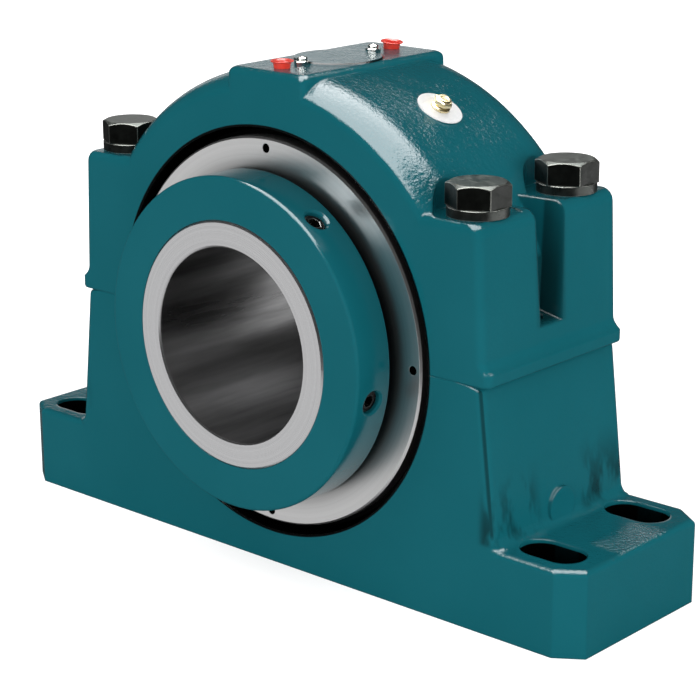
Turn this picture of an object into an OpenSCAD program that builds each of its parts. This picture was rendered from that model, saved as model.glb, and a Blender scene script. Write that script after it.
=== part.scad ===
// Split four-bolt pillow block with a self-aligning double-row tapered roller bearing.
// X runs along the base, Y along the shaft (the front end is at -Y), Z is up.
// The origin is the middle of the sole; the shaft axis lies at height shaft_h.

/* [Base casting] */
// Length of the foot
base_len = 540; // [480:1:640]
// Depth of the casting along the shaft
base_depth = 150; // [146:1:170]
// Thickness of the foot
foot_h = 61; // [50:0.5:72]
// Height of the shaft axis above the sole, which is also the split plane
shaft_h = 171; // [168:0.5:190]
// Corner cut of the foot, measured along X
foot_cut_x = 18.5; // [6:0.5:24]
// Corner cut of the foot, measured along Y
foot_cut_y = 13; // [4:0.5:20]
// Width of the tower at the split plane
tower_top_w = 382; // [378:1:390]
// Width of the tower where it meets the foot
tower_foot_w = 404; // [394:1:412]
// Fillet between the tower and the foot
tower_fillet = 9; // [3:0.5:12]
// Rounding of the upright corners of both castings
corner_r = 6; // [3:0.5:10]
// Rounding of the top edges of the foot
foot_edge_r = 4; // [1:0.5:8]
// Diameter of the cast spot on each side of the tower
side_spot_d = 28; // [16:1:40]
// How far that spot stands out of the tower
side_spot_t = 3; // [1:0.5:6]
// Depth of the relief in the sole
sole_relief = 3; // [1:0.5:3.5]

/* [Foundation slots] */
// Distance between slot centres along X
slot_dx = 463.6; // [456:0.2:470]
// Distance between slot centres along Y
slot_dy = 96; // [88:0.5:100]
// Width of each slot
slot_w = 30; // [24:0.5:34]
// Length of each slot, end to end
slot_len = 48.6; // [40:0.2:54]

/* [Cap casting] */
// Height of the bolt pads above the split plane
pad_h = 106.5; // [98:0.5:112]
// Width over the bolt pads at their top
pad_top_w = 375; // [370:1:380]
// How far the lip at the split stands out past the cap's side
lip_out = 6; // [2:0.5:10]
// Height of the lip
lip_h = 8.5; // [5:0.5:14]
// Outer radius of the arch about the shaft
arch_r = 185; // [180:0.5:194]
// Length along Y of the rounding at each end of the arch
crown_y = 27; // [14:0.5:34]
// Height of that rounding
crown_r = 15; // [8:0.5:20]
// Rounding over the outer edges of the bolt pads
pad_edge_r = 9; // [4:0.5:11]
// Half width of the pocket between two pads, at its top
pocket_top = 16.5; // [12:0.5:18]
// Half width of that pocket at its floor
pocket_floor = 12.3; // [8:0.1:14]
// Height of the pocket's floor above the split plane
pocket_z = 32; // [24:0.5:44]
// Distance from the shaft's mid plane to the pocket's back wall
pocket_back = 172; // [168:0.5:173]

/* [Top boss] */
// Width of the boss
boss_w = 73; // [60:1:84]
// Height of the boss above the shaft axis
boss_h = 185.5; // [182:0.5:196]
// Rounding of the boss's edges
boss_edge_r = 5; // [2:0.5:8]
// Diameter of the raised round pad on the boss
round_pad_d = 63; // [50:1:66]
// How far the round pad stands up
round_pad_t = 1.2; // [0.5:0.1:2]

/* [Cap bolts] */
// Distance between bolt centres along X
bolt_dx = 330; // [326:0.5:334]
// Distance between bolt centres along Y
bolt_dy = 96; // [90:0.5:98]
// Shank diameter of a bolt
bolt_d = 25.4; // [20:0.1:26]
// Width of the hexagon across its flats
bolt_af = 38.1; // [32:0.1:41]
// Height of the hexagon head
bolt_head_h = 15.9; // [12:0.1:18]
// Length of thread held in the base
bolt_grip = 44; // [30:1:56]
// Outer diameter of a spring washer
washer_d = 41.6; // [36:0.1:44]
// Thickness of a spring washer
washer_t = 6.4; // [4:0.1:7]
// Radius of the machined seat round each bolt
seat_r = 29.5; // [26:0.5:31]

/* [Pins] */
// Diameter of the dowel pins between cap and base
dowel_d = 9; // [6:0.5:10]
// Distance from the mid plane to each dowel pin
dowel_x = 178; // [174:0.5:181]
// Length of a dowel pin
dowel_len = 40; // [24:1:48]
// Diameter of the pin that keeps the cartridge from turning
stop_pin_d = 10; // [8:0.5:12]

/* [Bearing cartridge] */
// Diameter of the spherical seat
ball_d = 300; // [297:0.5:302]
// Diameter of the opening in each end of the housing
opening_d = 292.8; // [290:0.2:294]
// Width of the cartridge's spherical band
ball_w = 68; // [62:1:70]
// Diameter of the cartridge beside the spherical band
cartridge_d = 286; // [282:0.5:288]
// Length of the cartridge
cartridge_w = 124; // [120:1:128]
// Bore of the cartridge, which holds the cups
cup_od = 256; // [254:0.5:260]
// Width over the two polished end rings
insert_w = 148.2; // [144:0.2:149]
// Diameter of the end rings
end_ring_d = 279.4; // [276:0.2:281]
// Pitch circle of the spanner holes
spanner_pcd = 264.6; // [258:0.2:266]
// Diameter of a spanner hole
spanner_d = 6.4; // [4:0.2:7]
// Bore in the end ring that takes the seal
seal_bore_d = 208; // [204:1:212]

/* [Inner ring and collars] */
// Shaft diameter
shaft_d = 138.12; // [132:0.01:140]
// Diameter of the inner ring's ends
ring_od = 175.8; // [174:0.2:178]
// Length of the inner ring
ring_len = 228.6; // [226:0.2:240]
// Diameter of the collars
collar_od = 236.8; // [228:0.2:244]
// Width of each collar
collar_w = 33.2; // [28:0.2:34]
// How far the inner ring stands out of its collar
ring_proud = 1; // [0.2:0.1:3]
// Diameter of a set screw
set_screw_d = 16; // [10:0.5:18]
// Hexagon socket of a set screw, across its flats
socket_af = 8; // [5:0.5:9]
// Angles of the two set screws above the horizontal
set_screw_angles = [55, -10];

/* [Rollers and cages] */
// Rollers in each row
roller_count = 24; // [18:1:25]
// Length of a roller
roller_len = 36; // [30:0.5:37]
// Diameter of a roller at mid length
roller_d = 23.2; // [20:0.1:24]
// Radius of the pitch circle at mid length of the rollers
pitch_r = 104.5; // [104:0.1:105]
// Slope of the roller axes to the shaft
roller_tilt = 14.4; // [11:0.1:15]
// Distance of each row's middle from the mid plane
row_y = 26; // [25.5:0.1:26.5]
// Thickness of the cage
cage_t = 3; // [2:0.1:4]

/* [Fittings] */
// Distance of the grease fittings from the mid plane
grease_y = 37; // [36:0.5:38.5]
// Distance of the port plugs from the mid plane
plug_y = 57; // [55:0.5:59]
// Outer diameter of a port plug's rim
plug_rim_d = 15.5; // [12:0.5:17]
// Diameter of the round tag
tag_d = 32.8; // [28:0.2:36]
// Thickness of the tag
tag_t = 0.8; // [0.5:0.1:1.5]
// Angle of the relief fitting above the horizontal
relief_angle = 60; // [56:1:66]
// Hexagon of the relief fitting, across its flats
relief_af = 12.7; // [10:0.1:14]

/* [Hidden] */

// Clearances between parts
slip = 0.05;
seat_slip = 0.08;
seat_gap = 0.02;
race_gap = 0.3;
pocket_gap = 0.4;
over = 1;
leaf = 0.01;

// Colours
paint = [0.11, 0.37, 0.41];
steel = [0.75, 0.75, 0.76];
dark_steel = [0.24, 0.25, 0.24];
zinc = [0.80, 0.80, 0.78];
brass = [0.80, 0.65, 0.30];
red_plastic = [0.92, 0.26, 0.18];
rubber = [0.08, 0.08, 0.08];
tag_white = [0.94, 0.94, 0.93];

// Faceting of turned forms
round_fn = 180;
small_fn = 48;

// Castings
half_l = base_len / 2;
half_d = base_depth / 2;
split_step = 4.5;
pocket_draft = 0.1;
tower_rise = shaft_h - foot_h;
pad_top = shaft_h + pad_h;
boss_top = shaft_h + boss_h;
pad_cast_top = pad_top + 0.8;
side_w = tower_top_w / 2;
lip_w = side_w + lip_out;
lip_slope = 9;
bolt_x = bolt_dx / 2;
bolt_y = bolt_dy / 2;
bolt_hole_r = bolt_d / 2 + 0.6;

// Rolling elements, all cones meeting at one point on the shaft axis
apex_y = row_y + pitch_r / tan(roller_tilt);
apex_s = pitch_r / sin(roller_tilt);
roller_half = atan(roller_d / 2 / apex_s);
roller_big_r = (apex_s + roller_len / 2) * tan(roller_half);
roller_small_r = (apex_s - roller_len / 2) * tan(roller_half);
cone_angle = roller_tilt - roller_half;
cup_angle = roller_tilt + roller_half;
function cone_r(y) = (apex_y - y) * tan(cone_angle) - race_gap / cos(cone_angle);
function cup_r(y) = (apex_y - y) * tan(cup_angle) + race_gap / cos(cup_angle);
// Axial place of the rollers' ends
big_y = row_y - roller_len / 2 * cos(roller_tilt);
small_y = row_y + roller_len / 2 * cos(roller_tilt);
rib_y = big_y - roller_big_r * sin(roller_tilt) - race_gap;
rib_h = 6;
rib_r = cone_r(rib_y) + rib_h;
race_end_y = small_y - roller_small_r * sin(roller_tilt) + 1.1;
cup_end_y = small_y + roller_small_r * sin(roller_tilt) + 3.5;
cage_over = 4;
cage_rise = 5;

// Cartridge, end rings and seals
ball_r = ball_d / 2;
opening_r = opening_d / 2;
bore_r = cup_od / 2;
spacer_y = 4.5;
end_y = insert_w / 2;
cartridge_y = cartridge_w / 2;
seal_r = seal_bore_d / 2;
seal_stop_y = cup_end_y + 4.5;
groove_w = 10;
groove_depth = 4;
oil_hole_d = 7;
o_ring_d = 3;
o_groove_w = o_ring_d + 0.4;
o_groove_r = bore_r - o_ring_d - 2 * slip;

// Inner ring and collars
ring_r = ring_od / 2;
ring_y = ring_len / 2;
collar_out_y = ring_y - ring_proud;
collar_in_y = collar_out_y - collar_w;
collar_r = collar_od / 2;
screw_sink = 3.5;
screw_r = set_screw_d / 2;

// Points of an arc about c, from angle a to angle b
function arc(c, r, a, b, n = 8) =
    [for (i = [0:n]) let (t = a + (b - a) * i / n) [c[0] + r * cos(t), c[1] + r * sin(t)]];

// Outline of a rectangle of half sides hx and hy with round corners
function round_rect(hx, hy, r) = concat(
    arc([hx - r, hy - r], r, 0, 90), arc([r - hx, hy - r], r, 90, 180),
    arc([r - hx, r - hy], r, 180, 270), arc([hx - r, r - hy], r, 270, 360));

// Outline of the foot with its four corners cut, drawn in by e all round
function foot_outline(e) = let (x = half_l - e, y = half_d - e, cx = foot_cut_x - 0.4 * e,
                                cy = foot_cut_y - 0.4 * e)
    [[x - cx, -y], [x, cy - y], [x, y - cy], [x - cx, y],
     [cx - x, y], [-x, y - cy], [-x, cy - y], [cx - x, -y]];

// Solid skinned through a stack of outlines with equal numbers of points, each [z, points]
module lofted(stack) {
    n = len(stack[0][1]);
    m = len(stack);
    polyhedron(
        [for (s = stack) for (p = s[1]) [p[0], p[1], s[0]]],
        concat([[for (i = [0:n - 1]) i]],
               [for (k = [0:m - 2]) for (i = [0:n - 1])
                   [k * n + i, (k + 1) * n + i, (k + 1) * n + (i + 1) % n, k * n + (i + 1) % n]],
               [[for (i = [n - 1:-1:0]) (m - 1) * n + i]]));
}

// Turned form about the shaft axis, with points [radius, y]
module turned(points)
    translate([0, 0, shaft_h]) rotate([-90, 0, 0])
        rotate_extrude($fn = round_fn) polygon(points);

// Round bar along the shaft axis between two values of y
module shaft_bar(r, y0, y1)
    translate([0, y0, shaft_h]) rotate([-90, 0, 0]) cylinder(r = r, h = y1 - y0, $fn = round_fn);

// Children drawn for the rear end, mirrored for the front end
module at_end(front) if (front) mirror([0, 1, 0]) children(); else children();

// Children drawn along Z from the shaft axis, leaned to an angle above the horizontal
module radial(angle, y = 0) translate([0, y, shaft_h]) rotate([0, 90 - angle, 0]) children();

module at_bolts() for (sx = [-1, 1], sy = [-1, 1]) translate([sx * bolt_x, sy * bolt_y, 0]) children();

module at_dowels() for (sx = [-1, 1]) translate([sx * dowel_x, 0, 0]) children();

module hexagon(af, h) rotate(30) cylinder(d = af / cos(30), h = h, $fn = 6);

// Space inside the housing: the spherical seat and the two openings
module housing_space() {
    translate([0, 0, shaft_h]) rotate([90, 0, 0]) sphere(d = ball_d + 2 * seat_slip, $fn = round_fn);
    shaft_bar(opening_r, -half_d - over, half_d + over);
}

// Lower casting
module foot() lofted(concat(
    [[0, foot_outline(0)]],
    [for (i = [0:5]) let (t = 18 * i, e = foot_edge_r)
        [foot_h - e * (1 - sin(t)), foot_outline(e * (1 - cos(t)))]]));

// The tower flares into the foot with a concave fillet and is rounded under the split
module tower() {
    f = tower_fillet;
    low_w = tower_foot_w / 2;
    lofted(concat(
        [[foot_h - foot_edge_r - 2, round_rect(low_w + f, half_d, corner_r + f / 2)]],
        [for (i = [0:6]) let (t = 15 * i)
            [foot_h + f * (1 - cos(t)), round_rect(low_w + f * (1 - sin(t)), half_d, corner_r + f / 2 * (1 - sin(t)))]],
        [for (i = [0:5]) let (t = 18 * i, e = split_step)
            [shaft_h - e * (1 - sin(t)),
             round_rect(side_w - e * (1 - cos(t)), half_d, corner_r + 2.5 * e * (1 - cos(t)))]]));
}

module slots() for (sx = [-1, 1], sy = [-1, 1]) translate([sx * slot_dx / 2, sy * slot_dy / 2, -over]) {
    run = slot_len - slot_w;
    for (e = [-1, 1]) translate([e * run / 2, 0, 0])
        cylinder(d = slot_w, h = foot_h + 2 * over, $fn = small_fn);
    translate([-run / 2, -slot_w / 2, 0]) cube([run, slot_w, foot_h + 2 * over]);
}

module base() color(paint) {
    spot_z = foot_h + 11;
    spot_x = tower_foot_w / 2 - (spot_z - foot_h) * (tower_foot_w - tower_top_w) / 2 / tower_rise;
    relief_x = half_l - 70;
    difference() {
        union() {
            foot();
            tower();
            for (sx = [0, 1]) mirror([sx, 0, 0])
                translate([spot_x - 20, 0, spot_z]) rotate([0, 90, 0])
                    cylinder(d = side_spot_d, h = 20 + side_spot_t, $fn = small_fn);
        }
        housing_space();
        slots();
        at_bolts() translate([0, 0, shaft_h - bolt_grip - 8])
            cylinder(r = bolt_d / 2 + slip, h = bolt_grip + 8 + over, $fn = small_fn);
        at_dowels() translate([0, 0, shaft_h - dowel_len / 2 - over])
            cylinder(d = dowel_d + 2 * seat_gap, h = dowel_len / 2 + 2 * over, $fn = small_fn);
        translate([0, 0, 8]) cylinder(d = stop_pin_d + 2 * seat_gap, h = shaft_h - ball_r, $fn = small_fn);
        translate([-relief_x, 30 - half_d, -over])
            cube([2 * relief_x, base_depth - 60, sole_relief + over]);
    }
}

// Upper casting
module arch() {
    n = 10;
    end_arc = [for (i = [0:n]) let (t = 90 * i / n)
        [arch_r - crown_r * (1 - sin(t)), half_d - crown_y * (1 - cos(t))]];
    front_arc = [for (p = end_arc) [p[0], -p[1]]];
    inner = opening_r - 20;
    turned(concat([[inner, -half_d]], front_arc,
                  [for (i = [n:-1:0]) end_arc[i]], [[inner, half_d]]));
}

// Lip and bolt pads, one block from the split up to the pad tops
module bolt_pads() {
    top_w = pad_top_w / 2;
    e = pad_edge_r;
    soft = 3;
    lofted(concat(
        [for (i = [0:3]) let (t = 30 * i)
            [shaft_h + 2 * (1 - cos(t)), round_rect(lip_w - 1.5 * (1 - sin(t)), half_d, corner_r)]],
        [for (i = [0:6]) let (t = i / 6)
            [shaft_h + lip_h + lip_slope * t, round_rect(lip_w - lip_out * (1 - pow(1 - t, 2)), half_d, corner_r)]],
        [for (i = [0:5]) let (t = 18 * i)
            [pad_cast_top - e * (1 - sin(t)),
             round_rect(top_w - e * (1 - cos(t)), half_d - soft * (1 - cos(t)), corner_r)]]));
}

// Half width of the side pocket at x and z
function pocket_w(x, z) = pocket_floor + (pocket_top - pocket_floor) * (z - shaft_h - pocket_z) / (pad_h - pocket_z)
    - pocket_draft * (side_w - x);

// Space between the front and rear pads on one side, with a floor that drains outwards
module side_pocket() {
    x0 = opening_r - 30;
    x1 = lip_w + over;
    z0 = shaft_h + pocket_z;
    z1 = pad_cast_top + over;
    fall = 0.25 * (x1 - pocket_back);
    corner = [for (c = [[x0, z0], [x0, z1], [x1, z1], [x1, z0 - fall], [pocket_back, z0]])
        [c[0], pocket_w(c[0], c[1]), c[1]]];
    n = len(corner);
    polyhedron(
        concat([for (c = corner) [c[0], -c[1], c[2]]], corner),
        concat([[for (i = [0:n - 1]) i]], [[for (i = [n - 1:-1:0]) n + i]],
               [for (i = [0:n - 1]) [i, n + i, n + (i + 1) % n, (i + 1) % n]]));
}

module top_boss() {
    e = boss_edge_r;
    hw = boss_w / 2;
    lofted(concat(
        [[boss_top - 60, round_rect(hw + 1.5, half_d, e)]],
        [for (i = [0:5]) let (t = 18 * i, c = e * (1 - cos(t)))
            [boss_top - e * (1 - sin(t)), round_rect(hw - c, half_d - c, e)]]));
    translate([0, 0, boss_top - over]) cylinder(d = round_pad_d, h = over + round_pad_t, $fn = round_fn);
}

module cap() color(paint) difference() {
    union() {
        difference() {
            bolt_pads();
            for (sx = [0, 1]) mirror([sx, 0, 0]) side_pocket();
        }
        intersection() {
            arch();
            translate([-pocket_back, -base_depth, shaft_h + 2]) cube([2 * pocket_back, 2 * base_depth, arch_r]);
        }
        top_boss();
    }
    housing_space();
    at_bolts() {
        translate([0, 0, pad_top]) linear_extrude(pad_h) polygon(arc([0, 0], seat_r, 3.75, 356.25, 47));
        translate([0, 0, shaft_h - over]) cylinder(r = bolt_hole_r, h = pad_h + 2 * over, $fn = small_fn);
    }
    at_dowels() translate([0, 0, shaft_h - over])
        cylinder(d = dowel_d + 2 * seat_gap, h = pad_h, $fn = small_fn);
    for (sy = [-1, 1]) {
        translate([0, sy * grease_y, shaft_h + opening_r - 10])
            cylinder(d = grease_shank_d + 2 * seat_gap, h = base_len, $fn = small_fn);
        translate([0, sy * plug_y, shaft_h + opening_r - 10])
            cylinder(d = plug_hole_d, h = base_len, $fn = small_fn);
    }
    radial(relief_angle) translate([0, 0, opening_r - 10])
        cylinder(d = relief_shank_d + 2 * seat_gap, h = base_len, $fn = small_fn);
}

// Fasteners and pins
module cap_bolt() {
    seat = pad_top + washer_t;
    chamfer_r = bolt_af / 2 - 0.6;
    wide_r = bolt_af / 2 / cos(30) + over;
    translate([0, 0, shaft_h - bolt_grip]) cylinder(d = bolt_d, h = seat - shaft_h + bolt_grip + 1, $fn = small_fn);
    translate([0, 0, seat]) intersection() {
        hexagon(bolt_af, bolt_head_h);
        rotate_extrude($fn = small_fn * 2) polygon([
            [0, 0], [wide_r, 0], [wide_r, bolt_head_h - (wide_r - chamfer_r) * tan(30)],
            [chamfer_r, bolt_head_h], [0, bolt_head_h]]);
    }
}

module cap_bolts() color(dark_steel) at_bolts() cap_bolt();

// Spring washer, split by a slanting cut that faces away from the middle
module spring_washer() translate([0, 0, pad_top]) difference() {
    cylinder(d = washer_d, h = washer_t, $fn = small_fn * 2);
    translate([0, 0, -over]) cylinder(d = bolt_d + 1, h = washer_t + 2 * over, $fn = small_fn);
    translate([0, washer_d / 2, washer_t / 2]) rotate([0, 25, 0])
        cube([1.6, washer_d, 3 * washer_t], center = true);
}

module spring_washers() color(dark_steel) at_bolts() spring_washer();

module dowel_pins() color(steel) at_dowels() translate([0, 0, shaft_h - dowel_len / 2])
    cylinder(d = dowel_d, h = dowel_len, $fn = small_fn);

stop_pin_rise = 6;
module stop_pin() color(steel) translate([0, 0, 8])
    cylinder(d = stop_pin_d, h = shaft_h - ball_r - 8 + stop_pin_rise, $fn = small_fn);

// Fittings on the cap
grease_shank_d = 8;
plug_hole_d = 11.5;
relief_shank_d = 9;

module grease_fitting(y) translate([0, y, boss_top + (y_on_pad(y) ? round_pad_t : 0)]) {
    translate([0, 0, -12]) cylinder(d = grease_shank_d, h = 12.5, $fn = small_fn);
    hexagon(9.6, 3.2);
    rotate_extrude($fn = small_fn) polygon([
        [0, 3], [3.6, 3], [2.7, 4.6], [2.6, 5.4], [3.4, 6.3], [3.5, 7.2], [3.0, 8.2], [1.6, 9], [0, 9]]);
}
function y_on_pad(y) = abs(y) < round_pad_d / 2 - 2;

module grease_fittings() color(zinc) for (sy = [-1, 1]) grease_fitting(sy * grease_y);

// Tapered plastic plug, hollow from above, with a thin rim
module port_plug(y) translate([0, y, boss_top]) rotate_extrude($fn = small_fn) {
    top_r = plug_rim_d / 2;
    low_r = plug_hole_d / 2 - seat_gap;
    polygon([[0, -9], [low_r - 0.8, -9], [low_r, -8], [low_r, 0], [low_r + 0.9, 5.6], [top_r, 6.1],
             [top_r + 0.2, 7], [low_r - 0.2, 6.6], [low_r - 1.5, -6.5], [0, -6.5]]);
}

module port_plugs() color(red_plastic) for (sy = [-1, 1]) port_plug(sy * plug_y);

tag_r0 = arch_r + slip;
module relief_fitting() color(brass) radial(relief_angle) {
    seat = tag_r0 + tag_t + slip;
    translate([0, 0, arch_r - 16]) cylinder(d = relief_shank_d, h = 18, $fn = small_fn);
    translate([0, 0, seat]) cylinder(d = relief_af - 2.4, h = 4, $fn = small_fn);
    translate([0, 0, seat + 3.6]) intersection() {
        hexagon(relief_af, 4.6);
        rotate_extrude($fn = small_fn) polygon([
            [0, 0], [relief_af / 2 - 0.4, 0], [relief_af / 2 + 1.4, 1.2], [relief_af / 2 + 1.4, 3.5],
            [relief_af / 2 - 0.6, 4.6], [0, 4.6]]);
    }
    translate([0, 0, seat + 8]) rotate_extrude($fn = small_fn)
        polygon([[0, 0], [4.4, 0], [4.2, 1.1], [3.2, 1.6], [2.6, 1.0], [0, 1.0]]);
}

module fitting_tag() color(tag_white) radial(relief_angle) translate([0, 0, tag_r0])
    difference() {
        cylinder(d = tag_d, h = tag_t, $fn = small_fn * 2);
        translate([0, 0, -over]) cylinder(d = relief_shank_d + 0.4, h = tag_t + 2 * over, $fn = small_fn);
    }

// Bearing cartridge, which swivels in the spherical seat
module cartridge() color(steel) difference() {
    union() {
        intersection() {
            translate([0, 0, shaft_h]) rotate([90, 0, 0]) sphere(d = ball_d, $fn = round_fn);
            shaft_bar(ball_r + over, -ball_w / 2, ball_w / 2);
        }
        shaft_bar(cartridge_d / 2, -cartridge_y, cartridge_y);
    }
    shaft_bar(bore_r, -cartridge_y - over, cartridge_y + over);
    turned([[ball_r - groove_depth, -groove_w / 2], [ball_r + over, -groove_w / 2],
            [ball_r + over, groove_w / 2], [ball_r - groove_depth, groove_w / 2]]);
    for (i = [0:5]) radial(30 + 60 * i) translate([0, 0, bore_r - over])
        cylinder(d = oil_hole_d, h = ball_r - bore_r + 2 * over, $fn = small_fn);
    stop_slot();
}

// Slot for the stop pin, long enough for the swivel
module stop_slot() {
    w = stop_pin_d + 0.6;
    run = 13;
    translate([0, 0, shaft_h - ball_r - over]) {
        for (e = [-1, 1]) translate([0, e * run / 2, 0])
            cylinder(d = w, h = stop_pin_rise + 3, $fn = small_fn);
        translate([-w / 2, -run / 2, 0]) cube([w, run, stop_pin_rise + 3]);
    }
}

module cup_spacer() color(steel) difference() {
    turned([[cup_r(spacer_y) + 0.5, -spacer_y], [bore_r - seat_gap, -spacer_y],
            [bore_r - seat_gap, spacer_y], [cup_r(spacer_y) + 0.5, spacer_y]]);
    for (i = [0:5]) radial(30 + 60 * i) translate([0, 0, cup_r(spacer_y) - 5])
        cylinder(d = oil_hole_d - 1, h = 20, $fn = small_fn);
}

module cup(front) color(steel) at_end(front) turned([
    [cup_r(spacer_y), spacer_y], [bore_r - seat_gap, spacer_y],
    [bore_r - seat_gap, cup_end_y], [cup_r(cup_end_y), cup_end_y]]);

// End ring: flange, spigot against the cup, seal bore and four spanner holes
module end_ring(front) color(steel) at_end(front) difference() {
    turned([
        [seal_r - 4.5, cup_end_y], [bore_r - slip, cup_end_y], [bore_r - slip, seal_stop_y],
        [o_groove_r, seal_stop_y], [o_groove_r, seal_stop_y + o_groove_w], [bore_r - slip, seal_stop_y + o_groove_w],
        [bore_r - slip, cartridge_y], [end_ring_d / 2, cartridge_y],
        [end_ring_d / 2, end_y - 1.4], [end_ring_d / 2 - 1.4, end_y],
        [seal_r, end_y], [seal_r, seal_stop_y], [seal_r - 4.5, seal_stop_y]]);
    for (i = [0:3]) radial(90 * i) translate([0, end_y - 8, spanner_pcd / 2]) rotate([-90, 0, 0])
        cylinder(d = spanner_d, h = 8 + over, $fn = small_fn);
}

module o_ring(front) color(rubber) at_end(front)
    translate([0, seal_stop_y + o_groove_w / 2, shaft_h]) rotate([-90, 0, 0])
        rotate_extrude($fn = round_fn) translate([bore_r - slip - o_ring_d / 2, 0]) circle(d = o_ring_d, $fn = 24);

// Pressed steel shell of the shaft seal
module seal_case(front) color(steel) at_end(front) {
    y0 = seal_stop_y;
    y1 = seal_stop_y + 12;
    turned([[seal_r - 2, y0], [seal_r - seat_gap, y0], [seal_r - seat_gap, y1],
            [ring_r + 6, y1], [ring_r + 6, y1 - 2], [seal_r - 2, y1 - 2]]);
}

// Rubber body with its lip just off the inner ring
module seal_lip(front) color(rubber) at_end(front) {
    y1 = seal_stop_y + 10;
    lip = ring_r + race_gap;
    turned([[seal_r - 2 - seat_gap, y1], [ring_r + 5, y1], [lip + 1.2, y1 - 1.5], [lip, y1 - 3],
            [lip + 1.6, y1 - 4.2], [lip + 4, y1 - 4.2], [lip + 6, y1 - 6.5], [seal_r - 2 - seat_gap, y1 - 6.5]]);
}

// Shaft-side parts
module inner_ring() color(steel) difference() {
    half = [[ring_r - 1.5, ring_y], [ring_r, ring_y - 1.5], [ring_r, race_end_y + 4.5],
            [cone_r(race_end_y) + 3, race_end_y + 3.8], [cone_r(race_end_y) + 3, race_end_y],
            [cone_r(race_end_y), race_end_y], [cone_r(rib_y), rib_y],
            [rib_r, rib_y + rib_h * tan(roller_tilt)]];
    lead = 1.5;
    front = [for (p = half) [p[0], -p[1]]];
    turned(concat([[shaft_d / 2, -ring_y + lead], [shaft_d / 2 + lead, -ring_y]], front,
                  [for (i = [len(half) - 1:-1:0]) half[i]],
                  [[shaft_d / 2 + lead, ring_y], [shaft_d / 2, ring_y - lead]]));
    for (front_end = [true, false]) at_end(front_end) at_set_screws()
        translate([0, 0, shaft_d / 4]) cylinder(r = screw_r + 0.5, h = collar_r, $fn = small_fn);
}

module at_set_screws() for (a = set_screw_angles) radial(a, (collar_in_y + collar_out_y) / 2) children();

module collar(front) color(paint) at_end(front) difference() {
    e = 2.2;
    turned(concat([[ring_r + slip, collar_in_y], [collar_r - 1.5, collar_in_y], [collar_r, collar_in_y + 1.5]],
                  arc([collar_r - e, collar_out_y - e], e, 0, 90, 5), [[ring_r + slip, collar_out_y]]));
    at_set_screws() {
        translate([0, 0, ring_r - 4]) cylinder(r = screw_r + seat_gap, h = collar_r, $fn = small_fn);
        translate([0, 0, collar_r - 1.6]) cylinder(r1 = screw_r, r2 = screw_r + 2.4, h = 2.4, $fn = small_fn);
    }
}

module set_screw() {
    top = collar_r - screw_sink;
    tip = shaft_d / 2 + 0.6;
    difference() {
        rotate_extrude($fn = small_fn) polygon([
            [0, tip + 0.8], [screw_r - 4, tip], [screw_r - 2.4, tip], [screw_r, tip + 2.4],
            [screw_r, top - 1], [screw_r - 1, top], [0, top]]);
        translate([0, 0, top - 9]) hexagon(socket_af, 9 + over);
    }
}

module set_screws(front) color(dark_steel) at_end(front) at_set_screws() set_screw();

// Children drawn along a roller's axis, with Z from its big end to its small end
module on_roller_axis(i) translate([0, 0, shaft_h]) rotate([0, 360 / roller_count * i, 0])
    translate([0, row_y, pitch_r]) rotate([-90 - roller_tilt, 0, 0]) children();

module roller(grow = 0) {
    h = roller_len + 2 * grow;
    cham = 0.8;
    slope = (roller_big_r - roller_small_r) / roller_len;
    translate([0, 0, -h / 2]) rotate_extrude($fn = small_fn) polygon([
        [0, 0], [roller_big_r + grow - cham, 0], [roller_big_r + grow - slope * cham, cham],
        [roller_small_r + grow + slope * cham, h - cham], [roller_small_r + grow - cham, h], [0, h]]);
}

module rollers(front) color(steel) at_end(front)
    for (i = [0:roller_count - 1]) on_roller_axis(i) roller();

// Cage: a cone-shaped band with one window for each roller
module cage(front) color(steel) at_end(front) difference() {
    c = cos(roller_tilt);
    s = sin(roller_tilt);
    reach = roller_len / 2 + cage_over;
    big = [pitch_r + cage_rise / c + reach * s, row_y - reach * c];
    small = [pitch_r + cage_rise / c - reach * s, row_y + reach * c];
    dr = cage_t * c / 2;
    dy = cage_t * s / 2;
    turned([[big[0] - dr, big[1] - dy], [big[0] + dr, big[1] + dy],
            [small[0] + dr, small[1] + dy], [small[0] - dr, small[1] - dy]]);
    for (i = [0:roller_count - 1]) on_roller_axis(i) roller(pocket_gap);
}

base();
cap();
cap_bolts();
spring_washers();
dowel_pins();
stop_pin();
grease_fittings();
port_plugs();
relief_fitting();
fitting_tag();
cartridge();
cup_spacer();
cup(true);  // front_cup
cup(false);  // rear_cup
end_ring(true);  // front_end_ring
end_ring(false);  // rear_end_ring
o_ring(true);  // front_o_ring
o_ring(false);  // rear_o_ring
seal_case(true);  // front_seal_case
seal_case(false);  // rear_seal_case
seal_lip(true);  // front_seal_lip
seal_lip(false);  // rear_seal_lip
inner_ring();
collar(true);  // front_collar
collar(false);  // rear_collar
set_screws(true);  // front_set_screws
set_screws(false);  // rear_set_screws
cage(true);  // front_cage
cage(false);  // rear_cage
rollers(true);  // front_rollers
rollers(false);  // rear_rollers
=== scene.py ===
import bmesh, bpy, math
from mathutils import Matrix, Vector


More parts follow.
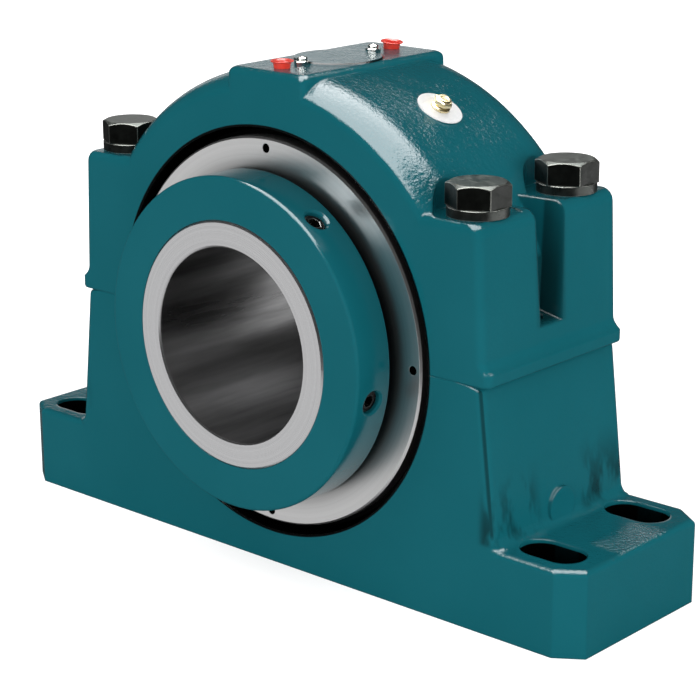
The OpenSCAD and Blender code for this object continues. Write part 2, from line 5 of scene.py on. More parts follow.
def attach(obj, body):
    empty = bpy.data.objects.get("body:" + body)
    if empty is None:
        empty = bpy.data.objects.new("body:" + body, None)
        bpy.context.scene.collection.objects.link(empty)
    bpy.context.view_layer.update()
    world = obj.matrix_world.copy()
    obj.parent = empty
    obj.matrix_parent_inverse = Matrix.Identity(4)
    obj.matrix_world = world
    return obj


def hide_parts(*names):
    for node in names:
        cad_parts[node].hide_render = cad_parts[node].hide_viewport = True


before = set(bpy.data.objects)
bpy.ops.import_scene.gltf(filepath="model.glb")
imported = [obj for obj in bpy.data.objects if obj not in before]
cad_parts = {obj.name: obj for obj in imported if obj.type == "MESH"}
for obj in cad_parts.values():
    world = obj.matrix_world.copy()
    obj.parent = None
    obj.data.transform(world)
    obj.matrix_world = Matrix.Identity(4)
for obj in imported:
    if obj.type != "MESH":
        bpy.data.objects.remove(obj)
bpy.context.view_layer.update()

# Base and cap: grey iron sand castings, machined on the faces and the bore, then sprayed all over
# with a thick gloss teal enamel. The cast skin shows through it as dimples and orange peel.
# The cap stands on the base's split plane and both are held by the four cap bolts.


def new_finish(name):
    material = bpy.data.materials.new(name)
    material.use_nodes = True
    tree = material.node_tree
    return material, tree, tree.nodes["Principled BSDF"]


def part_position(tree):
    return tree.nodes.new("ShaderNodeTexCoord").outputs["Object"]


def set_or_link(tree, value, socket):
    if isinstance(value, (int, float)):
        socket.default_value = value
    else:
        tree.links.new(value, socket)


def math_of(tree, operation, a, b=0.0):
    node = tree.nodes.new("ShaderNodeMath")
    node.operation = operation
    set_or_link(tree, a, node.inputs[0])
    set_or_link(tree, b, node.inputs[1])
    return node.outputs[0]


def product(tree, *factors):
    result = factors[0]
    for factor in factors[1:]:
        result = math_of(tree, "MULTIPLY", result, factor)
    return result


def apart(tree, value, target):
    return math_of(tree, "ABSOLUTE", math_of(tree, "SUBTRACT", value, target))


def length_of(tree, a, b):
    return math_of(tree, "SQRT", math_of(tree, "ADD", product(tree, a, a), product(tree, b, b)))


def axes_of(tree, vector):
    split = tree.nodes.new("ShaderNodeSeparateXYZ")
    tree.links.new(vector, split.inputs["Vector"])
    return split.outputs["X"], split.outputs["Y"], split.outputs["Z"]


def waves(tree, where, per_metre, detail=2.0, rough=0.5, squeeze=None):
    if squeeze:
        mapping = tree.nodes.new("ShaderNodeMapping")
        mapping.inputs["Scale"].default_value = squeeze
        tree.links.new(where, mapping.inputs["Vector"])
        where = mapping.outputs["Vector"]
    noise = tree.nodes.new("ShaderNodeTexNoise")
    noise.inputs["Scale"].default_value = per_metre
    noise.inputs["Detail"].default_value = detail
    noise.inputs["Roughness"].default_value = rough
    tree.links.new(where, noise.inputs["Vector"])
    return noise.outputs["Fac"]


def between(tree, factor, low, high, start=0.0, end=1.0):
    ramp = tree.nodes.new("ShaderNodeValToRGB")
    ramp.color_ramp.elements[0].position = start
    ramp.color_ramp.elements[1].position = end
    ramp.color_ramp.elements[0].color = (*low, 1)
    ramp.color_ramp.elements[1].color = (*high, 1)
    tree.links.new(factor, ramp.inputs["Fac"])
    return ramp.outputs["Color"]


def step(tree, value, start, end, low=0.0, high=1.0):
    span = tree.nodes.new("ShaderNodeMapRange")
    span.interpolation_type = "SMOOTHSTEP"
    for socket, v in (("From Min", start), ("From Max", end), ("To Min", low), ("To Max", high)):
        span.inputs[socket].default_value = v
    tree.links.new(value, span.inputs["Value"])
    return span.outputs["Result"]


def until(tree, value, start, end):
    return step(tree, value, start, end, 1.0, 0.0)


def mixed(tree, share, a, b):
    mix = tree.nodes.new("ShaderNodeMix")
    mix.data_type = "RGBA"
    set_or_link(tree, share, mix.inputs["Factor"])
    for value, socket in ((a, mix.inputs["A"]), (b, mix.inputs["B"])):
        if isinstance(value, tuple):
            socket.default_value = (*value, 1)
        else:
            tree.links.new(value, socket)
    return mix.outputs["Result"]


def soft_corners(tree, radius):
    bevel = tree.nodes.new("ShaderNodeBevel")
    bevel.samples = 6
    bevel.inputs["Radius"].default_value = radius
    return bevel.outputs["Normal"]


def raised(tree, height, metres, under=None):
    bump = tree.nodes.new("ShaderNodeBump")
    bump.inputs["Strength"].default_value = 1.0
    bump.inputs["Distance"].default_value = metres
    tree.links.new(height, bump.inputs["Height"])
    if under is not None:
        tree.links.new(under, bump.inputs["Normal"])
    return bump.outputs["Normal"]


def dress(material, *nodes):
    for name in nodes:
        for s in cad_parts[name].material_slots:
            s.material = material


def from_axis(tree, x, z):
    return length_of(tree, x, math_of(tree, "SUBTRACT", z, SHAFT_HEIGHT))


def in_box(tree, point, middle, half, soft):
    inside = 1.0
    for value, m, h in zip(point, middle, half):
        inside = product(tree, until(tree, apart(tree, value, m), h - soft, h + soft), inside)
    return inside


SHAFT_HEIGHT = 0.171
FOOT_TOP = 0.061
BOSS_TOP = 0.3565
OPENING_R = 0.1464
GAP_EDGE = (OPENING_R + 0.0012, OPENING_R + 0.002)
SLOT_MIDDLE = (0.2318, 0.048, 0.028)
SLOT_HALF = (0.0247, 0.0154, 0.0305)
SLOT_SOFT = 0.0005
PAD_LINE_R = 0.0318
PAD_LINE_WIDTH = (0.0004, 0.0008)
STREAKS_FADE_UP = (0.072, 0.118)
STREAKS_SIDE = (0.188, 0.196)
STREAKS_FROM_MIDDLE = (0.018, 0.034)
POCKET_FLOOR = (0.196, 0.2)
POCKET_WALL = (0.0125, 0.0185)
POCKET_BACK = (0.170, 0.173)
POCKET_MOUTH = (0.183, 0.196)
CORNER_LINE_Y = 0.0732
CORNER_LINE_WIDTH = (0.0004, 0.0013)
CORNER_INNER = (0.186, 0.188)
CORNER_OUTER = (0.206, 0.208)
CORNER_FADE_DOWN = (0.066, 0.072)
SCUFF_MIDDLE = (0.255, 0.004, FOOT_TOP)
SCUFF_HALF = (0.013, 0.026, 0.006)
SCUFF_SOFT = 0.005
TEAL = (0.0052, 0.116, 0.143)
TEAL_PALE = (0.0075, 0.128, 0.158)
DEEP_SHADE = (0.0008, 0.001, 0.001)
SHADE_TEAL = (0.003, 0.018, 0.020)


def deep_shade(tree, x, beside, depth, z):
    # painted shade: the walls of the slots and of the gap round the cartridge are painted nearly black
    slot = in_box(tree, (beside, depth, z), SLOT_MIDDLE, SLOT_HALF, SLOT_SOFT)
    return math_of(tree, "MAXIMUM", slot, until(tree, from_axis(tree, x, z), *GAP_EDGE))


def painted_shade_marks(tree, where, x, y, beside, depth, z):
    # painted dark reflections: streaks low on the tower's sides, fading upwards from the foot
    streak = step(tree, waves(tree, where, 42, 3, 0.6, (1, 1, 0.45)), 0.42, 0.58)
    streaks = product(tree, until(tree, z, *STREAKS_FADE_UP), step(tree, beside, *STREAKS_SIDE),
                      step(tree, z, FOOT_TOP + 0.0002, FOOT_TOP + 0.0045),
                      step(tree, depth, *STREAKS_FROM_MIDDLE), streak, 0.75)
    # painted shade down in the pockets between the bolt pads
    pocket = product(tree, until(tree, depth, *POCKET_WALL), step(tree, z, *POCKET_FLOOR),
                     step(tree, beside, *POCKET_BACK), until(tree, beside, *POCKET_MOUTH), 0.8)
    # a thin dark line down each corner of the tower
    line = product(tree, step(tree, apart(tree, depth, CORNER_LINE_Y), *CORNER_LINE_WIDTH, 0.7, 0.0),
                   step(tree, beside, *CORNER_INNER), until(tree, beside, *CORNER_OUTER),
                   until(tree, z, SHAFT_HEIGHT - 0.003, SHAFT_HEIGHT - 0.0005),
                   step(tree, z, *CORNER_FADE_DOWN))
    # painted shade: a thin dark line round the raised pad on the boss
    pad_line = product(tree, until(tree, apart(tree, length_of(tree, x, y), PAD_LINE_R), *PAD_LINE_WIDTH),
                       step(tree, z, BOSS_TOP - 0.0015, BOSS_TOP - 0.0005))
    shaded = math_of(tree, "MAXIMUM", streaks, pocket)
    return math_of(tree, "MAXIMUM", math_of(tree, "MAXIMUM", shaded, line), pad_line)


def cast_skin(tree, where, y, beside, z):
    # the machined front and rear faces are smooth, all other faces keep the cast skin
    facing = axes_of(tree, tree.nodes.new("ShaderNodeTexCoord").outputs["Normal"])[1]
    skin = step(tree, math_of(tree, "ABSOLUTE", facing), 0.55, 0.9, 1.0, 0.12)
    skin = product(tree, skin, step(tree, waves(tree, where, 16, 2), 0.42, 0.68, 0.65, 1.0))
    # a scuffed patch of heavy skin between the slots on each foot
    scuff = in_box(tree, (beside, y, z), SCUFF_MIDDLE, SCUFF_HALF, SCUFF_SOFT)
    skin = math_of(tree, "ADD", skin, product(tree, scuff, 2.2))
    return product(tree, waves(tree, where, 330, 3, 0.65), skin)


def enamel(name, corner, coat_rough, peel, swell, casting):
    material, tree, bsdf = new_finish(name)
    where = part_position(tree)
    colour = between(tree, waves(tree, where, 9, 3), TEAL, TEAL_PALE, 0.3, 0.7)
    if casting:
        x, y, z = axes_of(tree, where)
        beside = math_of(tree, "ABSOLUTE", x)
        depth = math_of(tree, "ABSOLUTE", y)
        # painted shade, nearly black, in the slots and the gap round the cartridge
        colour = mixed(tree, deep_shade(tree, x, beside, depth, z), colour, DEEP_SHADE)
        # painted shade and painted dark reflections on the casting, in a darker teal
        colour = mixed(tree, painted_shade_marks(tree, where, x, y, beside, depth, z), colour, SHADE_TEAL)
        peeled = cast_skin(tree, where, y, beside, z)
    else:
        peeled = waves(tree, where, 300, 3, 0.55)
    normal = raised(tree, waves(tree, where, 30, 2), swell, soft_corners(tree, corner))
    normal = raised(tree, peeled, peel, normal)
    bsdf.inputs["Roughness"].default_value = 0.5
    bsdf.inputs["Specular IOR Level"].default_value = 0.0
    bsdf.inputs["Coat Weight"].default_value = 1.0
    bsdf.inputs["Coat Roughness"].default_value = coat_rough
    bsdf.inputs["Coat IOR"].default_value = 1.5
    tree.links.new(colour, bsdf.inputs["Base Color"])
    tree.links.new(normal, bsdf.inputs["Normal"])
    tree.links.new(normal, bsdf.inputs["Coat Normal"])
    return material


dress(enamel("casting_enamel", 0.0022, 0.06, 0.0005, 0.0006, True), "base", "cap")

# Cap bolts and spring washers: forged and heat-treated steel with a black oxide finish,
# oiled, with the oxide worn thin on the corners of the hexagons and on the rims. Their tops are painted
# lighter, as a painted sheen.


def dark_steel_finish(name, dark, worn, top, rough):
    material, tree, bsdf = new_finish(name)
    where = part_position(tree)
    corner = soft_corners(tree, 0.0011)
    flat = tree.nodes.new("ShaderNodeNewGeometry").outputs["Normal"]
    edge = tree.nodes.new("ShaderNodeVectorMath")
    edge.operation = "DOT_PRODUCT"
    tree.links.new(corner, edge.inputs[0])
    tree.links.new(flat, edge.inputs[1])
    wear = until(tree, edge.outputs["Value"], 0.88, 0.995)
    patches = waves(tree, where, 160, 4, 0.6)
    mottle = between(tree, patches, dark, tuple(c * 1.9 for c in dark), 0.35, 0.75)
    # painted sheen: faces that look up are painted the lighter top colour, in patches
    up = axes_of(tree, tree.nodes.new("ShaderNodeTexCoord").outputs["Normal"])[2]
    lit_top = product(tree, step(tree, up, 0.75, 0.95), step(tree, patches, 0.3, 0.7, 0.55, 1.0))
    colour = mixed(tree, lit_top, mottle, top)
    tree.links.new(mixed(tree, wear, colour, worn), bsdf.inputs["Base Color"])
    bsdf.inputs["Metallic"].default_value = 0.8
    tree.links.new(step(tree, patches, 0.2, 0.8, rough * 0.8, rough * 1.3), bsdf.inputs["Roughness"])
    tree.links.new(raised(tree, waves(tree, where, 380, 3), 0.00012, corner), bsdf.inputs["Normal"])
    return material


dress(dark_steel_finish("bolt_black_oxide", (0.006, 0.007, 0.006), (0.34, 0.35, 0.32), (0.105, 0.115, 0.105),
                        0.34), "cap_bolts")
dress(dark_steel_finish("washer_black_oxide", (0.022, 0.024, 0.022), (0.26, 0.27, 0.25), (0.08, 0.085, 0.08),
                        0.30), "spring_washers")

# Dowel pins and stop pin: hardened steel pins, centreless ground. The dowels are pressed into reamed
# holes and set the cap on the base, and the stop pin keeps the cartridge from turning in its seat.


def ground_steel(name, colour, rough):
    material, tree, bsdf = new_finish(name)
    where = part_position(tree)
    scratches = waves(tree, where, 900, 2, 0.5, (1, 0.08, 1))
    tree.links.new(between(tree, scratches, tuple(c * 0.9 for c in colour), colour, 0.3, 0.7),
                   bsdf.inputs["Base Color"])
    bsdf.inputs["Metallic"].default_value = 1.0
    tree.links.new(step(tree, scratches, 0.2, 0.8, rough * 0.8, rough * 1.25), bsdf.inputs["Roughness"])
    tree.links.new(raised(tree, scratches, 0.00001), bsdf.inputs["Normal"])
    return material


bearing_steel = ground_steel("bearing_steel", (0.56, 0.56, 0.57), 0.25)
dress(bearing_steel, "dowel_pins", "stop_pin")

# Grease fittings: small nipples with a hexagon and a ball head, turned from steel bar and zinc
# plated, screwed into the boss's two outer ports.


def small_part_finish(name, dark, light, metallic, rough, corner, ripple):
    material, tree, bsdf = new_finish(name)
    where = part_position(tree)
    colour = between(tree, waves(tree, where, 320, 3), dark, light, 0.35, 0.65)
    tree.links.new(colour, bsdf.inputs["Base Color"])
    bsdf.inputs["Metallic"].default_value = metallic
    bsdf.inputs["Roughness"].default_value = rough
    tree.links.new(raised(tree, waves(tree, where, 600, 2), ripple, soft_corners(tree, corner)),
                   bsdf.inputs["Normal"])
    return material


def turn_on(mesh, profile, sides, place, turn=0.0):
    # skins a profile of (radius, height) in millimetres round Z, closed on the axis at both ends
    rings = []
    for radius, height in profile:
        count = 1 if radius == 0 else sides
        angles = [turn + 2 * math.pi * i / sides for i in range(count)]
        points = [Vector((radius * math.cos(a), radius * math.sin(a), height)) / 1000 for a in angles]
        rings.append([mesh.verts.new(place @ point) for point in points])
    for low, high in zip(rings, rings[1:]):
        for i in range(sides):
            j = (i + 1) % sides
            corners = [low[i % len(low)], low[j % len(low)], high[j % len(high)], high[i % len(high)]]
            mesh.faces.new([v for k, v in enumerate(corners) if v not in corners[:k]])


def thread(radius, depth, bottom, pitch, turns, top):
    # a screwed shank as a run of crests and roots
    crests = [(radius + depth * (i % 2), bottom + pitch * i) for i in range(turns)]
    return [(0, bottom - 0.5), (radius, bottom - 0.5)] + crests + [(0, top)]


def make_piece(name, mesh, material, body, slot, *nodes):
    bmesh.ops.recalc_face_normals(mesh, faces=mesh.faces)
    data = bpy.data.meshes.new(name)
    mesh.to_mesh(data)
    mesh.free()
    for face in data.polygons:
        face.use_smooth = True
    data.set_sharp_from_angle(angle=math.radians(35))
    data.materials.append(material)
    piece = bpy.data.objects.new(name, data)
    bpy.context.scene.collection.objects.link(piece)
    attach(piece, body)
    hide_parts(*nodes)
    return piece


zinc = small_part_finish("zinc_plate", (0.62, 0.62, 0.59), (0.80, 0.80, 0.77), 1.0, 0.18, 0.0004, 0.00003)
NIPPLE_Y = 0.037
NIPPLE_HEXAGON = [(0, -0.5), (5.6, -0.5), (5.6, 1.9), (5.0, 2.4), (0, 2.4)]
NIPPLE_HEAD = [(0, 2.0), (3.9, 2.0), (3.9, 2.6), (3.3, 2.9), (3.3, 3.1), (3.8, 3.5), (3.8, 4.2), (3.3, 4.8),
               (2.2, 5.2), (1.0, 5.3), (0.8, 4.9), (0, 4.8)]
NIPPLE_THREAD = thread(3.5, 0.45, -11.5, 0.6, 18, -0.3)
nipples = bmesh.new()
for y in (-NIPPLE_Y, NIPPLE_Y):
    at = Matrix.Translation((0, y, BOSS_TOP))
    turn_on(nipples, NIPPLE_THREAD, 32, at)
    turn_on(nipples, NIPPLE_HEXAGON, 6, at, 0.5)
    turn_on(nipples, NIPPLE_HEAD, 32, at)
fitted = [make_piece("grease_nipples", nipples, zinc, "housing", "zinc_plate", "grease_fittings")]

# Port plugs: soft moulded caps in red polyethylene with a thin rim and a hollow middle,
# pushed into the spare ports by hand.
plug_red = small_part_finish("plug_red_plastic", (0.84, 0.050, 0.030), (0.92, 0.068, 0.042), 0.0, 0.28,
                             0.0005, 0.00004)
bsdf = plug_red.node_tree.nodes["Principled BSDF"]
bsdf.inputs["Subsurface Weight"].default_value = 0.15
bsdf.inputs["Subsurface Scale"].default_value = 0.002
PLUG_Y = 0.057
REAR_LEAN = 0.10
PLUG = [(0, -9), (4.6, -9), (5.3, -8.2), (5.6, 0), (6.2, 3.4), (6.6, 3.9), (8.0, 4.5), (8.1, 5.0), (7.6, 5.3),
        (6.6, 5.0), (5.2, 4.4), (4.7, 2), (4.2, -6.5), (0, -6.5)]
plugs = bmesh.new()
for y, lean in ((-PLUG_Y, 0.0), (PLUG_Y, REAR_LEAN)):
    turn_on(plugs, PLUG, 40, Matrix.Translation((0, y, BOSS_TOP)) @ Matrix.Rotation(lean, 4, "Y"))
fitted.append(make_piece("port_caps", plugs, plug_red, "housing", "red_plastic", "port_plugs"))

# Relief fitting: a brass body with a round seat, a hexagon and a crimped cap, screwed through the
# casting into the grease groove. It stands on a round white enamelled tag that is left bare.
brass = small_part_finish("relief_brass", (0.88, 0.72, 0.38), (0.95, 0.86, 0.60), 1.0, 0.32, 0.0006, 0.00003)
TAG_FACE = 0.1859
RELIEF_ANGLE = math.radians(60)
RELIEF_SEAT = [(0, 0), (6.2, 0), (6.7, 0.5), (6.7, 1.7), (6.1, 2.3), (4.9, 2.6), (4.8, 3.6), (0, 3.6)]
RELIEF_HEXAGON = [(0, 3.3), (6.0, 3.3), (6.8, 3.9), (6.8, 6.5), (6.0, 7.2), (0, 7.2)]
RELIEF_HEAD = [(0, 7.0), (4.6, 7.0), (4.6, 7.9), (4.2, 8.3), (2.6, 8.3), (2.4, 7.9), (0, 7.8)]
RELIEF_THREAD = thread(3.9, 0.5, -15.5, 0.7, 22, 0.2)
relief = bmesh.new()
at = (Matrix.Translation((0, 0, SHAFT_HEIGHT)) @ Matrix.Rotation(math.pi / 2 - RELIEF_ANGLE, 4, "Y")
      @ Matrix.Translation((0, 0, TAG_FACE)))
turn_on(relief, RELIEF_THREAD, 32, at)
turn_on(relief, RELIEF_SEAT, 32, at)
turn_on(relief, RELIEF_HEXAGON, 6, at, 0.3)
turn_on(relief, RELIEF_HEAD, 32, at)
fitted.append(make_piece("relief_valve", relief, brass, "housing", "brass", "relief_fitting"))
tag_white = small_part_finish("tag_white_enamel", (0.84, 0.85, 0.85), (0.90, 0.90, 0.90), 0.0, 0.35,
                              0.0003, 0.00002)
dress(tag_white, "fitting_tag")

# Cartridge: the turned steel carrier of the cups, painted nearly black as painted shade in the gap round it.
# Its outside is part of a ball, so that it swivels in the housing's seat.
dress(dark_steel_finish("cartridge_shade_black", (0.002, 0.002, 0.002), (0.004, 0.004, 0.004),
                        (0.003, 0.003, 0.003), 0.6), "cartridge")

# Cups, spacer, rollers and cages: through-hardened bearing steel, ground and honed. The cups sit in the
# cartridge against the spacer, and each cage keeps its rollers apart.
dress(bearing_steel, "cup_spacer", "front_cup", "rear_cup", "front_rollers", "rear_rollers",
      "front_cage", "rear_cage")

# End rings: faced on the lathe, so their bare steel carries fine concentric rings. They screw into the
# cartridge's ends with a pin spanner, which fits the small holes in their faces.
RING_FACE = 0.0741
RING_HOLES_OUTER = 0.1373
COLLAR_SHADE = (0.102, 0.134)
COLLAR_SHADE_COLOUR = (0.02, 0.022, 0.022)
HOLE_SHADE = (0.003, 0.003, 0.003)


def darkened_by_collar(tree, colour, radius, y):
    # painted shade: the face is painted darker next to the collar, standing in for the collar's dark
    # reflection, and the spanner holes are painted dark inside
    shade = step(tree, radius, *COLLAR_SHADE, 0.93, 0.0)
    hole_shade = product(tree, until(tree, math_of(tree, "ABSOLUTE", y), RING_FACE - 0.0007, RING_FACE - 0.0003),
                   until(tree, radius, RING_HOLES_OUTER, RING_HOLES_OUTER + 0.0004))
    return mixed(tree, hole_shade, mixed(tree, shade, colour, COLLAR_SHADE_COLOUR), HOLE_SHADE)


def honed_bore_painted_shade(tree, where, radius, colour, roughness, bore, bore_rough, bore_r):
    # inside the bore the steel is drawn into soft bands along the shaft; the darker colour there is painted
    # shade, and its light and dark bands are painted reflections
    inside = until(tree, radius, bore_r + 0.0001, bore_r + 0.0009)
    drawn = waves(tree, where, 34, 4, 0.6, (1, 0.10, 1))
    painted_bands = between(tree, drawn, tuple(c * 0.4 for c in bore), tuple(c * 2.2 for c in bore), 0.3, 0.7)
    change = tree.nodes.new("ShaderNodeMix")
    tree.links.new(inside, change.inputs["Factor"])
    tree.links.new(roughness, change.inputs["A"])
    tree.links.new(step(tree, drawn, 0.2, 0.8, bore_rough * 0.8, bore_rough * 1.25), change.inputs["B"])
    return mixed(tree, inside, colour, painted_bands), change.outputs["Result"]


def turned_steel(name, face, face_rough, rings_per_metre, depth, end_ring=False, bore=None):
    material, tree, bsdf = new_finish(name)
    where = part_position(tree)
    x, y, z = axes_of(tree, where)
    radius = from_axis(tree, x, z)
    line = tree.nodes.new("ShaderNodeCombineXYZ")
    tree.links.new(radius, line.inputs["X"])
    tree.links.new(y, line.inputs["Y"])
    rings = waves(tree, line.outputs["Vector"], rings_per_metre, 3, 0.7)
    broad = waves(tree, line.outputs["Vector"], rings_per_metre / 6, 2)
    colour = between(tree, broad, tuple(c * 0.92 for c in face), face, 0.35, 0.65)
    roughness = step(tree, rings, 0.2, 0.8, face_rough * 0.9, face_rough * 1.1)
    if end_ring:
        colour = darkened_by_collar(tree, colour, radius, y)
    if bore:
        colour, roughness = honed_bore_painted_shade(tree, where, radius, colour, roughness, *bore)
    tree.links.new(colour, bsdf.inputs["Base Color"])
    bsdf.inputs["Metallic"].default_value = 1.0
    tree.links.new(roughness, bsdf.inputs["Roughness"])
    tree.links.new(raised(tree, rings, depth, soft_corners(tree, 0.0006)), bsdf.inputs["Normal"])
    return material


dress(turned_steel("faced_steel", (0.70, 0.70, 0.70), 0.32, 2600, 0.00001, end_ring=True),
      "front_end_ring", "rear_end_ring")

# Seals: a pressed steel case in each end ring, with a moulded black rubber lip that runs on the inner
# ring. An O-ring in a groove seals each end ring against the cartridge.
dress(bearing_steel, "front_seal_case", "rear_seal_case")
seal_rubber = small_part_finish("seal_rubber", (0.008, 0.008, 0.008), (0.014, 0.014, 0.014), 0.0, 0.6,
                                0.0004, 0.00003)
dress(seal_rubber, "front_seal_lip", "rear_seal_lip", "front_o_ring", "rear_o_ring")

# Inner ring: one piece of ground bearing steel through the whole unit. Its ends are faced bright,
# and its bore is honed and oiled, ready to slide on the shaft. The bore's darker colour is painted shade, and
# its bands are painted reflections.
BORE_R = 0.06906
dress(turned_steel("ring_steel", (0.64, 0.64, 0.65), 0.27, 3000, 0.00001,
                   bore=((0.27, 0.27, 0.273), 0.30, BORE_R)), "inner_ring")

# Collars: turned steel rings, sprayed with the housing's enamel. They slide on the inner ring's ends,
# and their set screws clamp ring and shaft together.
dress(enamel("collar_enamel", 0.001, 0.12, 0.00006, 0.0001, False), "front_collar", "rear_collar")

# Set screws: hardened alloy steel with a hexagon socket and a black oxide finish. Two are screwed
# through each collar and the inner ring onto the shaft.
dress(dark_steel_finish("set_screw_black_oxide", (0.010, 0.010, 0.010), (0.30, 0.30, 0.29),
                        (0.012, 0.012, 0.012), 0.25), "front_set_screws", "rear_set_screws")

# Stage: a plain white sweep under the part. The camera sees it white with the part's soft shadow,
# and the part's gloss sees it dim, as in a dark studio with a lit sweep.
FADE_TO_WHITE = (0.3, 0.9)
GLOW_NEAR = 0.68
bpy.ops.mesh.primitive_plane_add(size=30, location=(0, 0, 0))
floor = bpy.context.object
floor.name = "floor"
sweep = bpy.data.materials.new("sweep_white")
sweep.use_nodes = True
tree = sweep.node_tree
tree.nodes.clear()
out = tree.nodes.new("ShaderNodeOutputMaterial")
seen = tree.nodes.new("ShaderNodeLightPath")
lit = tree.nodes.new("ShaderNodeBsdfDiffuse")
lit.inputs["Color"].default_value = (0.50, 0.50, 0.50, 1)
glow = tree.nodes.new("ShaderNodeEmission")
glow.inputs["Color"].default_value = (1, 1, 1, 1)
dim = tree.nodes.new("ShaderNodeBsdfDiffuse")
tree.links.new(mixed(tree, seen.outputs["Is Glossy Ray"], (0.34, 0.34, 0.34), (0.05, 0.05, 0.05)),
               dim.inputs["Color"])
far = tree.nodes.new("ShaderNodeVectorMath")
far.operation = "LENGTH"
tree.links.new(tree.nodes.new("ShaderNodeNewGeometry").outputs["Position"], far.inputs[0])
tree.links.new(step(tree, far.outputs["Value"], *FADE_TO_WHITE, GLOW_NEAR, 1.0), glow.inputs["Strength"])
add = tree.nodes.new("ShaderNodeAddShader")
tree.links.new(lit.outputs[0], add.inputs[0])
tree.links.new(glow.outputs[0], add.inputs[1])
choose = tree.nodes.new("ShaderNodeMixShader")
tree.links.new(seen.outputs["Is Camera Ray"], choose.inputs["Fac"])
tree.links.new(dim.outputs[0], choose.inputs[1])
tree.links.new(add.outputs[0], choose.inputs[2])
tree.links.new(choose.outputs[0], out.inputs["Surface"])
floor.data.materials.append(sweep)

# Studio: white behind the part for the camera, an even grey room for matt surfaces, and for gloss a
# dark room with one dim strip of wall low at the back left.
ROOM_LEVEL = 0.76
DARK_LEVEL = 0.03
STRIP_LEVEL = 0.8
world = bpy.data.worlds.new("studio")
bpy.context.scene.world = world
world.use_nodes = True
tree = world.node_tree
tree.nodes.clear()
out = tree.nodes.new("ShaderNodeOutputWorld")
seen = tree.nodes.new("ShaderNodeLightPath")
white = tree.nodes.new("ShaderNodeBackground")
room = tree.nodes.new("ShaderNodeBackground")
dark = tree.nodes.new("ShaderNodeBackground")
dx, dy, dz = axes_of(tree, tree.nodes.new("ShaderNodeTexCoord").outputs["Generated"])
heading = math_of(tree, "ARCTAN2", dx, dy)
strip = product(tree, step(tree, heading, -1.15, -0.95), until(tree, heading, -0.75, -0.5),
                until(tree, dz, 0.16, 0.28), STRIP_LEVEL)
room.inputs["Strength"].default_value = ROOM_LEVEL
tree.links.new(math_of(tree, "ADD", strip, DARK_LEVEL), dark.inputs["Strength"])
gloss = tree.nodes.new("ShaderNodeMixShader")
tree.links.new(seen.outputs["Is Glossy Ray"], gloss.inputs["Fac"])
tree.links.new(room.outputs[0], gloss.inputs[1])
tree.links.new(dark.outputs[0], gloss.inputs[2])
choose = tree.nodes.new("ShaderNodeMixShader")
tree.links.new(seen.outputs["Is Camera Ray"], choose.inputs["Fac"])
tree.links.new(gloss.outputs[0], choose.inputs[1])
tree.links.new(white.outputs[0], choose.inputs[2])
tree.links.new(choose.outputs[0], out.inputs["Surface"])
for background in (white, room, dark):
    background.inputs["Color"].default_value = (1, 1, 1, 1)


def softbox(name, at, towards, size, glow_per_area, in_gloss=False, in_matt=False, only_on=None):
    wide, long = size
    light = bpy.data.lights.new(name, "AREA")
    light.shape = "RECTANGLE"
    light.size, light.size_y = wide, long
    light.energy = glow_per_area * math.pi * wide * long
    holder = bpy.data.objects.new(name, light)
    bpy.context.scene.collection.objects.link(holder)
    holder.location = at
    holder.rotation_mode = "QUATERNION"
    holder.rotation_quaternion = (Vector(towards) - Vector(at)).to_track_quat("-Z", "Y")
    holder.visible_camera = False
    holder.visible_glossy = in_gloss
    holder.visible_diffuse = in_matt
    if only_on:
        holder.light_linking.receiver_collection = only_on


def group_of(name, pieces):
    group = bpy.data.collections.new(name)
    for piece in pieces:
        group.objects.link(piece)
    return group


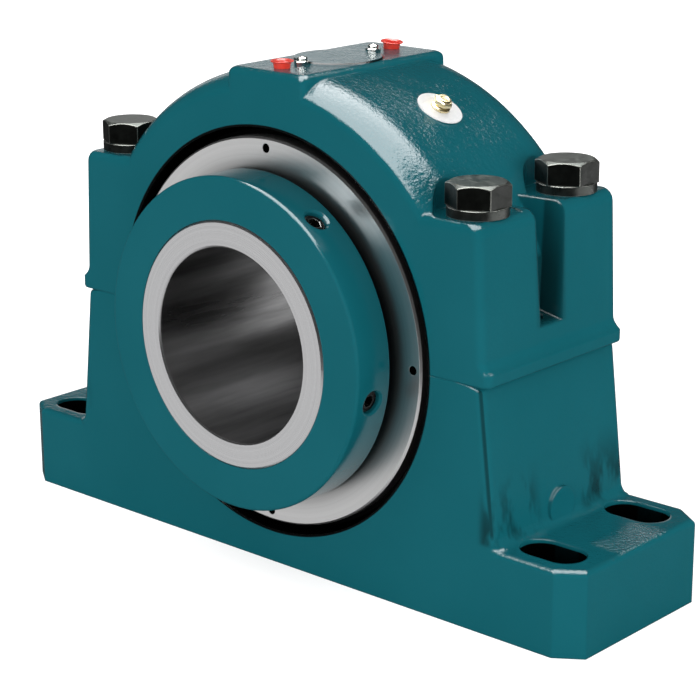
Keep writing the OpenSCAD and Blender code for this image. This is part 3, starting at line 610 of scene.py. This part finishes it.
# The main softbox hangs flat over the part, and two weak ones fill in the front and the right end.
# The box shows bright in the enamel's gloss, and a dimmer one in its place shows in the bare steel.
BOX_HEIGHT = 1.6
PLAN_X = (-0.65, 0.50)
PLAN_Y = (-1.45, 0.75)
LIFT = 0.25
over = Vector((sum(PLAN_X) / 2 * BOX_HEIGHT, sum(PLAN_Y) / 2 * BOX_HEIGHT, BOX_HEIGHT + LIFT))
under = (over.x, over.y, 0)
box = ((PLAN_X[1] - PLAN_X[0]) * BOX_HEIGHT, (PLAN_Y[1] - PLAN_Y[0]) * BOX_HEIGHT)
STEEL_PIECES = ("front_end_ring", "rear_end_ring", "inner_ring")
steel = group_of("bare_steel", [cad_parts[name] for name in STEEL_PIECES])
the_rest = [node for name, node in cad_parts.items() if name not in STEEL_PIECES]
all_but_steel = group_of("glossy_parts", the_rest + fitted)
softbox("overhead_box_gloss", over, under, box, 9.6, in_gloss=True, only_on=all_but_steel)
softbox("overhead_box_matt", over, under, box, 1.7, in_matt=True)
softbox("front_fill", (0.3, -2.6, 0.5), (0, 0, 0.15), (1.8, 1.2), 4.2, in_matt=True)
softbox("right_fill", (2.5, 0.1, 0.35), (0.2, 0, 0.08), (1.8, 1.0), 4.6, in_matt=True)

# The lit sweep, in front and behind, shows in the bare steel, and from behind on the right in the bolts.
# All but the steel's own box lie just over the floor or stand low on it.
LAMP_Z = 0.004
softbox("sweep_bounce", (-1.6, -2.0, LAMP_Z), (-1.6, -2.0, 1), (4.0, 3.82), 0.66, in_gloss=True,
        only_on=steel)
softbox("back_glow", (0.75, 1.0, LAMP_Z), (0.75, 1.0, 1), (1.4, 1.5), 1.1, in_gloss=True, only_on=steel)
softbox("back_wall", (1.4, 1.6, 0.3), (0, 0, 0.17), (1.6, 0.6), 0.95, in_gloss=True, only_on=steel)
softbox("sweep_wall", (-2.7, -2.7, 0.42), (0, 0, 0.17), (3.2, 0.85), 0.7, in_gloss=True, only_on=steel)
softbox("steel_box", over, under, box, 2.5, in_gloss=True, only_on=steel)
bolts = group_of("bolts_only", [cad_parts[name] for name in ("cap_bolts", "spring_washers")])
softbox("bolt_glow", (1.4, 0.55, LAMP_Z), (1.4, 0.55, 1), (1.6, 1.5), 4.0, in_gloss=True, only_on=bolts)

# Camera: a long lens from the front right, a little above the part, with no shift,
# so that the picture has the photograph's view.
LENS = 110.131
eye = Vector((1.00706, -1.10849, 0.59547))
right = Vector((0.744335, 0.667794, -0.00451))
up = Vector((-0.190287, 0.218555, 0.957094))
camera = bpy.data.cameras.new("camera")
camera.sensor_width = 36.0
camera.lens = LENS
holder = bpy.data.objects.new("camera", camera)
bpy.context.scene.collection.objects.link(holder)
turn = Matrix((right, up, right.cross(up))).transposed().to_4x4()
holder.matrix_world = Matrix.Translation(eye) @ turn
camera.clip_start, camera.clip_end = 0.05, 50
bpy.context.scene.camera = holder
bpy.context.scene.view_settings.view_transform = "Standard"
